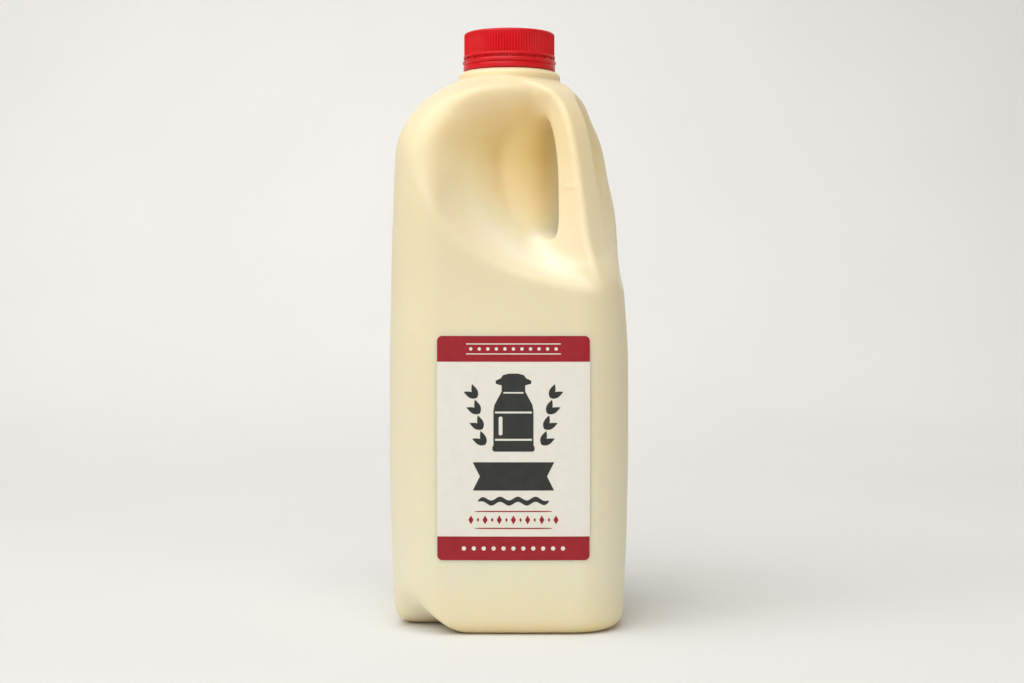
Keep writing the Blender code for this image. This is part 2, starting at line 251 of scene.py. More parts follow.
DIAMOND_ROW_Z = 0.0500
DIAMOND_SPACING = 0.0030
DIAMOND_HALF = (0.0011, 0.0019)
BAR_FROM_ROW = 0.0036
BAR_HALF = 0.0165
BAR_THICKNESS = 0.0005

# Colours as the surfaces' own reflectance, except the painted contact shade at the jug's very foot and
# the painted light and shade in the scoop and the finger hole; stops run up the jug, from 0 at its foot
# to 1 at the collar
MILK_AND_PAINTED_FOOT_SHADE_STOPS = (
    # The first stop, darker and more orange, is painted contact shade along the jug's foot
    (0.00, (0.84, 0.66, 0.34)),
    (0.025, (0.86, 0.78, 0.54)),
    (0.10, (0.84, 0.80, 0.61)),
    (0.35, (0.82, 0.76, 0.56)),
    (0.65, (0.82, 0.74, 0.52)),
    (0.96, (0.86, 0.75, 0.50)),
    (1.00, (0.90, 0.75, 0.47)),
)
# Painted light and shade in the scoop: paler on its lower bowl and shelf, deeper and more orange higher
# up under the overhang
SCOOP_PAINTED_LIGHT_AND_SHADE_STOPS = (
    (0.62, (0.98, 0.91, 0.73)),
    (0.69, (1.0, 0.86, 0.69)),
    (0.75, (1.0, 0.84, 0.60)),
    (0.82, (0.96, 0.80, 0.47)),
    (0.87, (0.88, 0.71, 0.34)),
    (0.92, (0.88, 0.68, 0.34)),
)
# How far the scoop's painted light and shade and then the finger wall's painted shade take over with
# depth, 1 being HOLLOW_DEPTH
HOLLOW_DEPTH = 0.050
SCOOP_PAINTED_SHADE_SHARE_STOPS = (
    (0.00, (0.0, 0.0, 0.0)),
    (0.14, (0.5, 0.5, 0.5)),
    (0.28, (1.0, 1.0, 1.0)),
)
FINGER_WALL_PAINTED_SHADE_SHARE_STOPS = (
    (0.32, (0.0, 0.0, 0.0)),
    (0.76, (1.0, 1.0, 1.0)),
)
# Painted light and shade on the finger wall: paler near the handle's foot, dark amber higher in the hole
FINGER_WALL_PAINTED_LIGHT_AND_SHADE_STOPS = (
    (0.61, (0.86, 0.77, 0.58)),
    (0.67, (0.98, 0.85, 0.64)),
    (0.73, (0.96, 0.80, 0.48)),
    (0.78, (0.82, 0.66, 0.30)),
    (0.84, (0.70, 0.50, 0.15)),
)
# Near the handle the painted shade is cut back, over this reach and by this share
HANDLE_PALE_REACH = 0.0040
HANDLE_PALE_SHARE = 0.75
CAP_COLOURS = ((0.64, 0.005, 0.010), (0.72, 0.007, 0.013))
FILM_COLOURS = ((0.80, 0.78, 0.70), (0.83, 0.81, 0.73))
CRIMSON_COLOURS = ((0.31, 0.010, 0.018), (0.355, 0.013, 0.022))
CHARCOAL_COLOURS = ((0.026, 0.029, 0.026), (0.034, 0.038, 0.034))
FLOOR_DARK = (0.77, 0.775, 0.77)
FLOOR_LIGHT = (0.80, 0.805, 0.80)

# Finish: noise scales in turns per metre, depths of relief in metres
MOTTLE_ENDS = (0.3, 0.7)
MILK_ROUGHNESS = (0.38, 0.48)
MILK_MOTTLE_SCALE = 35.0
MILK_WAVE_SCALE = 45.0
MILK_WAVE_DEPTH = 0.0010
MILK_PEEL_SCALE = 420.0
MILK_PEEL_DEPTH = 0.00012
CAP_MOTTLE_SCALE = 120.0
CAP_PEEL_SCALE = 900.0
CAP_PEEL_DEPTH = 0.00004
FILM_MOTTLE_SCALE = 260.0
FILM_PEEL_SCALE = 1500.0
FILM_PEEL_DEPTH = 0.00003
FILM_ROUGHNESS = 0.36
INK_ROUGHNESS = 0.34

# Floor that sweeps up into a backdrop
FLOOR_FRONT_Y = -2.2
SWEEP_START_Y = 0.9
SWEEP_RADIUS = 0.6
SWEEP_STEPS = 12
BACKDROP_TOP_Z = 2.6
FLOOR_HALF = 2.6
FLOOR_MOTTLE_SCALE = 3.0

# Light: name, place, aim, size, power, spread and colour of each soft box, and the even world around
WORLD_COLOUR = (1.0, 0.92, 0.80)
WORLD_STRENGTH = 0.31
LIGHTS = (
    ("key", (-0.44, -0.65, 1.45), (0.0, 0.0, 0.12), (1.8, 1.8), 26.8, 180.0, (1.0, 1.0, 1.0)),
    ("front", (-0.25, -1.60, 0.40), (0.0, 0.0, 0.13), (1.2, 1.2), 3.0, 180.0, (1.0, 1.0, 1.0)),
    ("fill", (1.10, -0.90, 0.70), (0.0, 0.0, 0.13), (1.0, 1.0), 0.2, 180.0, (1.0, 0.85, 0.65)),
    ("rear", (1.10, 0.80, 1.00), (0.0, 0.0, 0.10), (1.4, 1.4), 2.0, 180.0, (1.0, 0.95, 0.86)),
    ("backdrop", (-0.60, 0.55, 1.90), (-0.2, 1.5, 0.3), (1.6, 0.5), 3.4, 85.0, (1.0, 1.0, 1.0)),
)


def smooth_min(a, b, ease):
    """The lesser of two distances, with the crease between them rounded over ease."""
    share = np.clip(0.5 + 0.5 * (b - a) / ease, 0.0, 1.0)
    return b + (a - b) * share - ease * share * (1.0 - share)


def smooth_max(a, b, ease):
    return -smooth_min(-a, -b, ease)


def smooth_step(z, start, span):
    """Rises from 0 to 1 as z goes from start over span."""
    share = np.clip((z - start) / span, 0.0, 1.0)
    return share**2 * (3.0 - 2.0 * share)


def half_width(z):
    """Half the body's width at a height, and how fast the shoulder closes there."""
    taper = np.where(z < WIDEST_Z, LOWER_TAPER, UPPER_TAPER)
    side = BODY_HALF - taper * (z - WIDEST_Z) ** 2
    rise = np.clip((z - SHOULDER_Z) / SHOULDER_RISE, 0.0, SHOULDER_CUT)
    dome = SHOULDER_HALF * np.sqrt(1.0 - rise**2)
    width = np.where(z > SHOULDER_Z, dome, side)
    return width, SHOULDER_HALF**2 * rise / (SHOULDER_RISE * dome)


def corner_radius(width):
    """The corners keep their radius down the sides and take up the whole width at the collar."""
    flat_share = (width - COLLAR_RADIUS) / (SHOULDER_HALF - COLLAR_RADIUS)
    flat = (SHOULDER_HALF - CORNER_RADIUS) * np.clip(flat_share, 0.0, None)
    return np.minimum(width - flat, width)


def front_inset(z):
    """How far the front is set back in the band under the scoop's rim."""
    rise = smooth_step(z, INSET_FROM_Z, INSET_SPAN)
    return INSET_DEPTH * rise * (1.0 - smooth_step(z, INSET_END_Z, INSET_SPAN))


def body_distance(x, y, z):
    """Below zero inside the plain body, before its scoops, its handle and its recesses."""
    width, closing = half_width(z)
    radius = corner_radius(width)
    past_x = np.abs(x) - (width - SIDE_CROWN * (y / BODY_HALF) ** 2 - radius)
    inset = np.where(y < 0.0, front_inset(z), 0.0)
    past_y = np.abs(y) + inset - (width - SIDE_CROWN * (x / BODY_HALF) ** 2 - radius)
    corner = np.hypot(np.maximum(past_x, 0.0), np.maximum(past_y, 0.0))
    side = corner + np.minimum(np.maximum(past_x, past_y), 0.0) - radius
    side = side / np.sqrt(1.0 + closing**2)
    side = np.maximum(side, z - COLLAR_EDGE_Z)
    return smooth_max(side, -z, BASE_EDGE)


def front_surface(x, z):
    """Where the plain body's front face is, as a place along Y."""
    width, _ = half_width(z)
    radius = corner_radius(width)
    past = np.maximum(np.abs(x) - (width - radius), 0.0)
    bow = np.sqrt(np.maximum(radius**2 - past**2, 0.0))
    return -(width - SIDE_CROWN * (x / BODY_HALF) ** 2 - radius + bow - front_inset(z))


def inside_rim(x, z):
    """How far a place on the front face lies inside the scoop's rim, and how steep the wall is there."""
    upper = smooth_step(z, RIM_Z - RIM_TURN_SPAN / 2.0, RIM_TURN_SPAN)
    centre = LOWER_RIM_X + (UPPER_RIM_X - LOWER_RIM_X) * upper
    reach = centre - RIM_LEFT
    height = np.where(z > RIM_Z, UPPER_RIM_RISE, LOWER_RIM_DROP)
    across = np.maximum(centre - x, 0.0)
    along = np.abs(z - RIM_Z)
    power = 2.0 + (RIM_UPPER_POWER - 2.0) * upper
    share = ((across / reach) ** power + (along / height) ** power) ** (1.0 / power)
    share = np.maximum(share, 1e-3)
    inside = np.hypot(across, along) * (1.0 / share - 1.0)
    upright = (along / height / share) ** 2
    steep = WALL_SLOPE_SHELF + (WALL_SLOPE_TOP - WALL_SLOPE_SHELF) * upper
    return inside, WALL_SLOPE_SIDE + (steep - WALL_SLOPE_SIDE) * upright


def scoop_distance(x, y, z, depth):
    """Below zero in the space that the scoop takes out, down to the wall behind the fingers."""
    inside, slope = inside_rim(x, z)
    wall = (y - front_surface(x, z) - slope * inside) / np.sqrt(1.0 + slope**2)
    lean = LEAN_Z - z
    floor_y = FLOOR_AT[1] + FLOOR_SLOPE * (x - FLOOR_AT[0]) - (FLOOR_LEAN + FLOOR_BOW * lean) * lean
    floor = (y - floor_y) / np.sqrt(1.0 + FLOOR_SLOPE**2)
    finger_wall = FINGER_WALL + FINGER_WALL_LEAN * lean - depth
    return smooth_max(smooth_min(floor, finger_wall, TURN_EASE), wall, BOWL_EASE)


def handle_outline(depth, z):
    """Below zero inside the handle's outer edge, in the plane of the corner."""
    depth = depth - HANDLE_LEAN * (SHOULDER_Z - z)
    above = np.maximum(z - SHOULDER_Z, 0.0) / HANDLE_TOP_RISE
    share = (np.maximum(depth, 0.0) / HANDLE_REACH) ** HANDLE_TOP_POWER + above**HANDLE_TOP_POWER
    top = HANDLE_REACH * (share ** (1.0 / HANDLE_TOP_POWER) - 1.0)
    below = np.maximum(SHOULDER_Z - z, 0.0) / HANDLE_FOOT_DROP
    foot = depth - HANDLE_REACH - HANDLE_FOOT_REACH * below**HANDLE_FOOT_POWER
    return np.where(z > SHOULDER_Z, top, foot)


def hole_outline(depth, z):
    """Below zero in the finger hole, whose top is round and whose foot is squarer."""
    up = z - HOLE_CENTRE[1]
    across = np.abs(depth - HOLE_CENTRE[0] - HOLE_TILT * up) / HOLE_HALF_DEPTH
    power = np.where(up > 0.0, HOLE_TOP_POWER, HOLE_FOOT_POWER)
    along = np.abs(up) / np.where(up > 0.0, HOLE_TOP_RISE, HOLE_FOOT_DROP)
    share = (across**power + along**power) ** (1.0 / power)
    return HOLE_HALF_DEPTH * (share - 1.0)


def handle_distance(depth, side, z):
    """Below zero in the fin that stands on the corner plane."""
    foot = np.clip((SHOULDER_Z - z) / HANDLE_FOOT_DROP, 0.0, 1.0)
    top = np.clip((z - HANDLE_TOP_FLARE_Z) / HANDLE_TOP_FLARE_SPAN, 0.0, 1.0)
    flank = side - HANDLE_WIDTH / 2.0 - HANDLE_FLARE * foot**2 - HANDLE_TOP_FLARE * top**3
    limits = [flank, handle_outline(depth, z), -hole_outline(depth, z)]
    rounded = sum(np.maximum(limit + HANDLE_EASE, 0.0) ** 2 for limit in limits)
    within = np.minimum(np.maximum.reduce(limits) + HANDLE_EASE, 0.0)
    fin = np.sqrt(rounded) + within - HANDLE_EASE
    return np.maximum(fin, -depth)


def recess_distance(x, y, z):
    reach = smooth_min(-x, -y, RECESS_BLEND) - RECESS_START
    return (z - RECESS_SLOPE * reach) / np.sqrt(1.0 + RECESS_SLOPE**2)


def jug_distance(x, y, z):
    """Below zero inside the whole jug. depth runs from the axis to the handle and side across it."""
    depth = (x - y) / np.sqrt(2.0)
    side = np.abs(x + y) / np.sqrt(2.0)
    near_x = (depth - side) / np.sqrt(2.0)
    far_x = (depth + side) / np.sqrt(2.0)
    softness = smooth_step(z, RIM_SOFT_FROM_Z, RIM_SOFT_SPAN) * (1.0 - smooth_step(z, NECK_Z, NECK_SPAN))
    ease = RIM_EASE_LOW + (RIM_EASE_HIGH - RIM_EASE_LOW) * softness
    plain = body_distance(near_x, -far_x, z)
    front_scoop = scoop_distance(near_x, -far_x, z, depth)
    side_scoop = scoop_distance(far_x, -near_x, z, depth)
    scooped = smooth_max(plain, -smooth_min(front_scoop, side_scoop, SCOOP_JOIN_EASE), ease)
    handle = smooth_max(handle_distance(depth, side, z), plain, HANDLE_CREST_EASE)
    low = smooth_step(-z, -FOOT_FILLET_Z, FOOT_FILLET_SPAN)
    fillet = FILLET + (FOOT_FILLET - FILLET) * low
    whole = smooth_min(scooped, handle, np.clip(scooped - plain, FILLET_LEAST, fillet))
    return smooth_max(whole, -recess_distance(near_x, -far_x, z), RECESS_EASE)


def collared_distance(x, y, z):
    """The jug's distance, with its shoulder swept up to the collar."""
    past_side = np.hypot(x, y) - COLLAR_RADIUS + COLLAR_SUNK
    collar = np.maximum(past_side, z - COLLAR_EDGE_Z + COLLAR_SUNK)
    return smooth_min(jug_distance(x, y, z), collar, COLLAR_SWEEP)


def distance_grid(step):
    """The jug's distances on a box of points, and the box's first point."""
    low = np.array([-BODY_HALF, -BODY_HALF, 0.0]) - GRID_MARGIN
    high = np.array([BODY_HALF, BODY_HALF, COLLAR_EDGE_Z]) + GRID_MARGIN
    counts = np.ceil((high - low) / step).astype(int) + 1
    across = low[0] + step * np.arange(counts[0])
    x, y = np.meshgrid(across, across, indexing="ij")
    levels = low[2] + step * np.arange(counts[2])
    slices = [collared_distance(x, y, np.full_like(x, z)) for z in levels]
    return np.stack(slices, axis=2).astype(np.float32), low


def jug_mesh(step):
    """The surface where the distance is zero, as a mesh of even squares."""
    values, low = distance_grid(step)
    grid = openvdb.FloatGrid(GRID_MARGIN)
    grid.copyFromArray(values)
    points, quads = grid.convertToQuads(0.0)
    mesh = bpy.data.meshes.new("jug")
    mesh.from_pydata(points * step + low, [], quads[:, ::-1].tolist())
    return mesh


def slope_of_distance(points):
    """The distance at each point, and the direction in which it grows fastest."""
    step = SLOPE_STEP
    x, y, z = points.T
    here = collared_distance(x, y, z)
    rise = [
        collared_distance(x + step, y, z) - collared_distance(x - step, y, z),
        collared_distance(x, y + step, z) - collared_distance(x, y - step, z),
        collared_distance(x, y, z + step) - collared_distance(x, y, z - step),
    ]
    return here, np.stack(rise, axis=1) / (2.0 * step)


def painted_shade_depth_share(points):
    """How deep each point lies under the body as it would be without its scoops, less on the handle, as
    the share of painted light and shade in the milk's colour.
    """
    x, y, z = points.T
    depth = (x - y) / np.sqrt(2.0)
    side = np.abs(x + y) / np.sqrt(2.0)
    below = -body_distance((depth - side) / np.sqrt(2.0), -(depth + side) / np.sqrt(2.0), z)
    from_handle = np.clip(handle_distance(depth, side, z) / HANDLE_PALE_REACH, 0.0, 1.0)
    kept = 1.0 - HANDLE_PALE_SHARE * (1.0 - from_handle)
    return np.clip(below * kept / HOLLOW_DEPTH, 0.0, 1.0)


def settle_on_surface(mesh):
    """Moves each point of the rough mesh on to the true surface, and cuts the base flat."""
    count = len(mesh.vertices)
    points = np.empty(count * 3)
    mesh.vertices.foreach_get("co", points)
    points = points.reshape(-1, 3)
    for _ in range(2):
        here, slope = slope_of_distance(points)
        steep = np.maximum((slope**2).sum(axis=1), SLOPE_LEAST)
        move = np.clip(here / steep, -GRID_STEP / 2.0, GRID_STEP / 2.0)
        points = points - slope * move[:, None]
    # The share of painted light and shade for the scoop and the finger hole, kept as a point attribute
    hollow_painted_shade = painted_shade_depth_share(points)
    points[:, 2] = np.maximum(points[:, 2] - BASE_TRIM, 0.0)
    mesh.vertices.foreach_set("co", points.ravel())
    mesh.attributes.new("hollow_painted_shade", "FLOAT", "POINT").data.foreach_set("value", hollow_painted_shade)
    mesh.update()


def link(name, mesh, material):
    made = bpy.data.objects.new(name, mesh)
    bpy.context.scene.collection.objects.link(made)
    mesh.materials.append(material)
    return made


def mesh_of(name, shape):
    """Turns a finished bmesh into a mesh with its faces turned outwards."""
    bmesh.ops.recalc_face_normals(shape, faces=shape.faces)
    mesh = bpy.data.meshes.new(name)
    shape.to_mesh(mesh)
    shape.free()
    return mesh


def ring_of(shape, radii, height):
    turns = np.arange(len(radii)) * 2.0 * np.pi / len(radii)
    return [
        shape.verts.new((radius * np.cos(turn), radius * np.sin(turn), height))
        for radius, turn in zip(radii, turns)
    ]


def stack_of_rings(name, rings):
    """A solid from (radii, height) rings that run from top to bottom, all with the same count."""
    shape = bmesh.new()
    made = [ring_of(shape, radii, height) for radii, height in rings]
    for upper, lower in zip(made, made[1:]):
        for i in range(len(upper)):
            j = (i + 1) % len(upper)
            shape.faces.new((upper[i], lower[i], lower[j], upper[j]))
    shape.faces.new(made[0])
    shape.faces.new(made[-1])
    return mesh_of(name, shape)


def rounded_profile(points, ease):
    """A profile line whose inner corners are each replaced by a short curve."""
    out = [points[0]]
    for before, at, after in zip(points, points[1:], points[2:]):
        at, before, after = (np.array(p, dtype=float) for p in (at, before, after))
        near = [np.linalg.norm(before - at), np.linalg.norm(after - at)]
        reach = min(ease, near[0] / 2.1, near[1] / 2.1)
        start = at + (before - at) / near[0] * reach
        end = at + (after - at) / near[1] * reach
        for k in range(PROFILE_STEPS + 1):
            t = k / PROFILE_STEPS
            out.append(tuple((1 - t) ** 2 * start + 2 * t * (1 - t) * at + t**2 * end))
    out.append(points[-1])
    return out


def collar_mesh():
    """The moulded step under the cap, sunk into the shoulder at its foot."""
    line = [
        (COLLAR_HIDDEN_RADIUS, COLLAR_TOP_Z + CAP_ROUNDING),
        (COLLAR_TOP_RADIUS, COLLAR_TOP_Z),
        (COLLAR_RADIUS, COLLAR_EDGE_Z),
        (COLLAR_RADIUS, COLLAR_BASE_Z),
        (COLLAR_RADIUS - COLLAR_ROOT, COLLAR_BASE_Z - COLLAR_ROOT),
    ]
    line = rounded_profile(line, COLLAR_ROUNDING)
    return stack_of_rings("neck_collar", [([r] * COLLAR_SEGMENTS, z) for r, z in line])


def united(name, first, second):
    """One closed mesh from two that overlap."""
    base, other = (bpy.data.objects.new(part.name, part) for part in (first, second))
    for part in (base, other):
        bpy.context.scene.collection.objects.link(part)
    union = base.modifiers.new("union", "BOOLEAN")
    union.operation = "UNION"
    union.solver = "EXACT"
    union.object = other
    mesh = bpy.data.meshes.new_from_object(base.evaluated_get(bpy.context.evaluated_depsgraph_get()))
    mesh.name = name
    for part in (base, other):
        bpy.data.objects.remove(part, do_unlink=True)
    return mesh


def make_jug(material):
    moulded = jug_mesh(GRID_STEP)
    settle_on_surface(moulded)
    mesh = united("jug_surface", moulded, collar_mesh())
    mesh.shade_smooth()
    jug = link("jug_surface", mesh, material)
    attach(jug, "root")
    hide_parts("jug")


def rib_wave(count):
    """One ring's depth between ribs: rounded crests with narrower grooves."""
    turn = np.arange(count) / POINTS_PER_RIB
    return 0.5 - 0.5 * np.cos(2.0 * np.pi * turn)


def crown_rings(flat, groove):
    """The cap's shallow dish and its rounded upper edge, where the ribs begin."""
    rings = [(flat * (CAP_RADIUS - inset), CAP_TOP_Z - DISH_DEPTH) for inset in DISH_INSETS]
    rings.append((flat * (CAP_RADIUS - DISH_EDGE_INSET), CAP_TOP_Z))
    for turn in np.linspace(0.0, np.pi / 2.0, CROWN_STEPS):
        radius = CAP_RADIUS - CROWN_EDGE + CROWN_EDGE * np.sin(turn)
        height = CAP_TOP_Z - CROWN_EDGE * CROWN_FLATNESS * (1.0 - np.cos(turn))
        below = (RIB_TOP_Z + RIB_FADE - height) / RIB_FADE - RIB_START_LAG
        cut = RIB_DEPTH * min(RIB_START_SHARE * max(0.0, below), 1.0)
        rings.append((flat * radius - groove * cut, height))
    return rings


def make_cap(material):
    """The cap with its ribs, and the tamper band joined to it by small bridges across the slit."""
    count = RIB_COUNT * POINTS_PER_RIB
    flat = np.ones(count)
    groove = rib_wave(count) ** RIB_NARROWING
    ribbed = CAP_RADIUS - RIB_DEPTH * groove
    bridge = (np.arange(count) * BRIDGE_COUNT / count) % 1.0 < BRIDGE_SHARE
    slit = np.where(bridge, RIM_RADIUS - BRIDGE_SUNK, SLIT_RADIUS)
    rings = crown_rings(flat, groove)
    for height in np.linspace(RIB_TOP_Z - RIB_FADE, RIB_FOOT_Z + RIB_FADE / 2.0, RIB_RINGS):
        rings.append((ribbed, height))
    rings.append((ribbed, RIB_FOOT_Z))
    line = [
        (RIM_RADIUS - CAP_ROUNDING, RIB_FOOT_Z - 2.0 * CAP_ROUNDING),
        (RIM_RADIUS, RIB_FOOT_Z - CAP_EDGE_DROP),
        (RIM_RADIUS - CAP_ROUNDING, RIM_FOOT_Z),
    ]
    rings += [(flat * radius, height) for radius, height in line]
    rings.append((slit, RIM_FOOT_Z - CAP_ROUNDING))
    rings.append((slit, SLIT_FOOT_Z + CAP_ROUNDING))
    line = [
        (BAND_RADIUS, SLIT_FOOT_Z),
        (BAND_RADIUS + BEAD_PROUD, SLIT_FOOT_Z - CAP_EDGE_DROP),
        (BAND_RADIUS + BEAD_PROUD, BEAD_FOOT_Z + 3.0 * CAP_ROUNDING),
        (BAND_RADIUS, BEAD_FOOT_Z),
        (BAND_RADIUS - GROOVE_DEPTH, GROOVE_Z),
        (BAND_RADIUS - CAP_ROUNDING, GROOVE_Z - CAP_EDGE_DROP),
        (BAND_RADIUS - CAP_ROUNDING, BAND_FOOT_Z + 3.0 * CAP_ROUNDING),
        (BAND_RADIUS - 4.0 * CAP_ROUNDING, BAND_FOOT_Z),
    ]
    rings += [(flat * radius, height) for radius, height in line]
    mesh = stack_of_rings("cap_shell", rings)
    mesh.shade_smooth()
    mesh.set_sharp_from_angle(angle=CAP_SHARP_ANGLE)
    cap = link("cap_shell", mesh, material)
    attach(cap, "root")
    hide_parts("cap")


def spread_points(loops):
    """Even points inside the box of a set of outlines, so that a shape can follow the curved face."""
    every = np.concatenate([np.array(loop) for loop in loops])
    low, high = every.min(axis=0), every.max(axis=0)
    counts = np.maximum(((high - low) / MESH_SPACING).astype(int), 1)
    x = np.linspace(low[0], high[0], counts[0] + 2)[1:-1]
    z = np.linspace(low[1], high[1], counts[1] + 2)[1:-1]
    return [(float(a), float(b)) for a in x for b in z]


def with_even_points(loop):
    """The same outline with points added along its long sides."""
    out = []
    for start, end in zip(loop, loop[1:] + loop[:1]):
        pieces = max(int(np.hypot(end[0] - start[0], end[1] - start[1]) / MESH_SPACING), 1)
        for k in range(pieces):
            share = k / pieces
            out.append((start[0] + (end[0] - start[0]) * share, start[1] + (end[1] - start[1]) * share))
    return out


def inside_loop(point, loop):
    """Whether a point is inside an outline, by counting the sides that it would cross."""
    loop = np.array(loop)
    ahead = np.roll(loop, -1, axis=0)
    above = loop[:, 1] > point[1]
    crossing = above != (ahead[:, 1] > point[1])
    fall = np.where(crossing, ahead[:, 1] - loop[:, 1], 1.0)
    where = loop[:, 0] + (point[1] - loop[:, 1]) / fall * (ahead[:, 0] - loop[:, 0])
    return bool(np.count_nonzero(crossing & (point[0] < where)) % 2)


def clear_of_edge(point, loops):
    gaps = [np.hypot(*(np.array(loop) - point).T).min() for loop in loops]
    return min(gaps) > EDGE_CLEARANCE


def add_sheet(shape, loops, lift, thickness):
    """Adds one thin closed piece, of the given outlines, that follows the jug's front face.

    The first outline is the outer edge and the others are holes. lift is how far its back stands
    off the jug."""
    loops = [with_even_points(loop) for loop in loops]
    grid = [p for p in spread_points(loops) if inside_loop(p, loops[0]) and clear_of_edge(p, loops)]
    corners, faces = [], []
    for loop in loops:
        first = len(corners)
        corners += [Vector(p) for p in loop]
        faces.append(list(range(first, len(corners))))
    corners += [Vector(p) for p in grid]
    flat, _, triangles, *_ = delaunay_2d_cdt(corners, [], faces, INSIDE_WITH_HOLES, SAME_POINT)
    x = np.array([p[0] for p in flat])
    z = np.array([p[1] for p in flat])
    y = front_surface(x, z) - lift
    layers = []
    for depth in (0.0, thickness):
        layers.append([shape.verts.new(p) for p in zip(x, y - depth, z)])
    back, front = layers
    used = {}
    for triangle in triangles:
        shape.faces.new([front[i] for i in triangle])
        shape.faces.new([back[i] for i in reversed(triangle)])
        for a, b in zip(triangle, triangle[1:] + triangle[:1]):
            used[(a, b)] = used.get((a, b), 0) + 1
    for a, b in used:
        if (b, a) not in used:
            shape.faces.new((front[b], front[a], back[a], back[b]))
    loose = [v for layer in layers for v in layer if not v.link_faces]
    bmesh.ops.delete(shape, geom=loose, context="VERTS")


def rounded_box(left, right, foot, top, radius, corners=(True, True, True, True)):
    """Outline of a rectangle. corners says which are round, from the lower left anticlockwise."""
    centres = [
        (left + radius, foot + radius, np.pi),
        (right - radius, foot + radius, 1.5 * np.pi),
        (right - radius, top - radius, 0.0),
        (left + radius, top - radius, 0.5 * np.pi),
    ]
    plain = [(left, foot), (right, foot), (right, top), (left, top)]
    out = []
    for (x, z, start), corner, is_round in zip(centres, plain, corners):
        if not is_round:
            out.append(corner)
            continue
        for turn in start + np.linspace(0.0, np.pi / 2.0, CORNER_STEPS):
            out.append((x + radius * np.cos(turn), z + radius * np.sin(turn)))
    return out


def dot(x, z, radius):
    turns = np.arange(DOT_STEPS) * 2.0 * np.pi / DOT_STEPS
    return [(x + radius * np.cos(turn), z + radius * np.sin(turn)) for turn in turns]


def leaf(length, width, turned):
    """A pointed leaf with its stalk at the origin, growing along turned."""
    share = np.linspace(0.0, 1.0, LEAF_STEPS)
    half = width / 2.0 * np.sin(np.pi * share**LEAF_FULLNESS)
    edge = [(s * length, h) for s, h in zip(share, half)]
    edge += [(s * length, -h) for s, h in zip(share[-2:0:-1], half[-2:0:-1])]
    cosine, sine = np.cos(turned), np.sin(turned)
    return [(a * cosine - b * sine, a * sine + b * cosine) for a, b in edge]


def mirrored(loop, middle):
    return [(2.0 * middle - x, z) for x, z in reversed(loop)]


def churn(middle, foot, height):
    """Outline of a milk churn: base, straight body, sloping shoulder, neck and mushroom lid."""
    half = height * CHURN_HALF_SHARE
    right = [
        (0.92, 0.00), (1.00, 0.02), (1.00, 0.06), (0.95, 0.08), (0.95, 0.52), (0.90, 0.60),
        (0.66, 0.72), (0.56, 0.77), (0.56, 0.85), (0.84, 0.87), (0.84, 0.91), (0.60, 0.94),
        (0.50, 0.98), (0.22, 1.00),
    ]
    side = [(middle + half * x, foot + height * z) for x, z in right]
    return side + mirrored(side, middle)


def churn_lights(middle, foot, height):
    """The pale bands and the highlight that are left open in the churn."""
    half = height * CHURN_HALF_SHARE
    # left, right, foot, top and rounding, as shares of the churn's half width and height
    boxes = [
        (-0.88, 0.88, 0.14, 0.165, 0.008),
        (-0.88, 0.88, 0.49, 0.515, 0.008),
        (-0.48, 0.48, 0.745, 0.765, 0.008),
        (-0.70, -0.52, 0.21, 0.45, 0.02),
    ]
    return [
        rounded_box(
            middle + half * left, middle + half * right,
            foot + height * low, foot + height * high, height * rounding)
        for left, right, low, high, rounding in boxes
    ]


def diamond(x, z, half_x, half_z):
    return [(x - half_x, z), (x, z - half_z), (x + half_x, z), (x, z + half_z)]


def ribbon(middle, foot, top, half, notch):
    """A plain ribbon whose two ends are notched."""
    mid = (foot + top) / 2.0
    right = [(middle + half, foot), (middle + half - notch, mid), (middle + half, top)]
    return right + mirrored(right, middle)


def wave(left, right, height, swing, thick, turns):
    """A wavy bar from left to right."""
    x = np.linspace(left, right, WAVE_STEPS)
    share = (x - left) / (right - left)
    z = height + swing * np.sin(2.0 * np.pi * turns * share)
    half = thick / 2.0 * np.sqrt(np.clip(1.0 - (2.0 * share - 1.0) ** 8, 0.02, 1.0))
    lower = list(zip(x, z - half))
    upper = list(zip(x[::-1], (z + half)[::-1]))
    return lower + upper


def printed(name, groups, material, level):
    """One ink of the label: each group is an outline followed by its holes."""
    shape = bmesh.new()
    lift = LABEL_GAP + LABEL_THICKNESS - INK_SUNK + level * INK_DEPTH
    for loops in groups:
        add_sheet(shape, loops, lift, INK_SUNK + INK_DEPTH)
    ink = link(name, mesh_of(name, shape), material)
    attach(ink, "root")
    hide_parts("label")


def crimson_shapes(middle):
    """The two bands, a row of diamonds and the bars above and below it."""
    left, right, rounding = LABEL_LEFT + BAND_EDGE, LABEL_RIGHT - BAND_EDGE, LABEL_CORNER - BAND_EDGE
    top, foot = LABEL_TOP_Z - BAND_EDGE, LABEL_FOOT_Z + BAND_EDGE
    shapes = [
        [rounded_box(left, right, TOP_BAND_FOOT_Z, top, rounding, (False, False, True, True))],
        [rounded_box(left, right, foot, FOOT_BAND_TOP_Z, rounding, (True, True, False, False))],
    ]
    for i in range(-6, 7):
        size = 1.0 if i % 2 == 0 else 0.5
        half_x, half_z = (half * size for half in DIAMOND_HALF)
        shapes.append([diamond(middle + i * DIAMOND_SPACING, DIAMOND_ROW_Z, half_x, half_z)])
    for side in (-1, 1):
        height = DIAMOND_ROW_Z + side * BAR_FROM_ROW
        shapes.append([wave(middle - BAR_HALF, middle + BAR_HALF, height, 0.0, BAR_THICKNESS, 0)])
    return shapes


